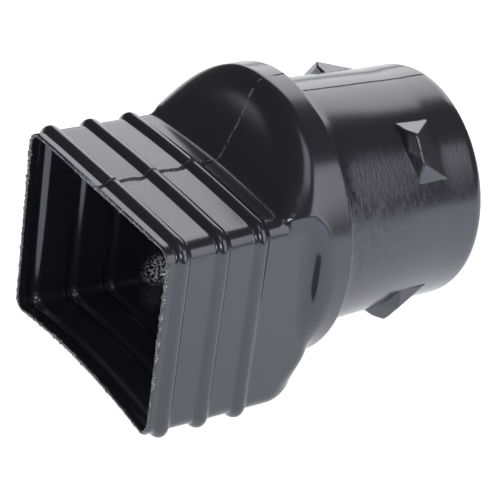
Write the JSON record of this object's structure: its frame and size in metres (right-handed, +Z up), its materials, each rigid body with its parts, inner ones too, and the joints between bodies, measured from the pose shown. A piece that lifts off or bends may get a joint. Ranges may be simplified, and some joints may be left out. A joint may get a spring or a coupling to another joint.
{
  "type": "downspout adapter",
  "caption": "Black blow-moulded adapter from a ribbed rectangular downspout socket, through an offset rounded body, to a round drain pipe spigot with barbed lugs.",
  "frame": {"origin": "on the surface it rests on, under the middle of its bounding box", "axes": "+X level, from the rectangular socket towards the round spigot; +Z up as it rests, so the flow axis points 3.1 degrees down towards +X; the part is symmetric about y = 0"},
  "size_m": [0.1582, 0.118, 0.118],
  "materials": {
    "black_polyethylene": "glossy black polyethylene, as blow-moulded"
  },
  "bodies": {
    "root": {"adapter": "black_polyethylene"}
  },
  "joints": []
}
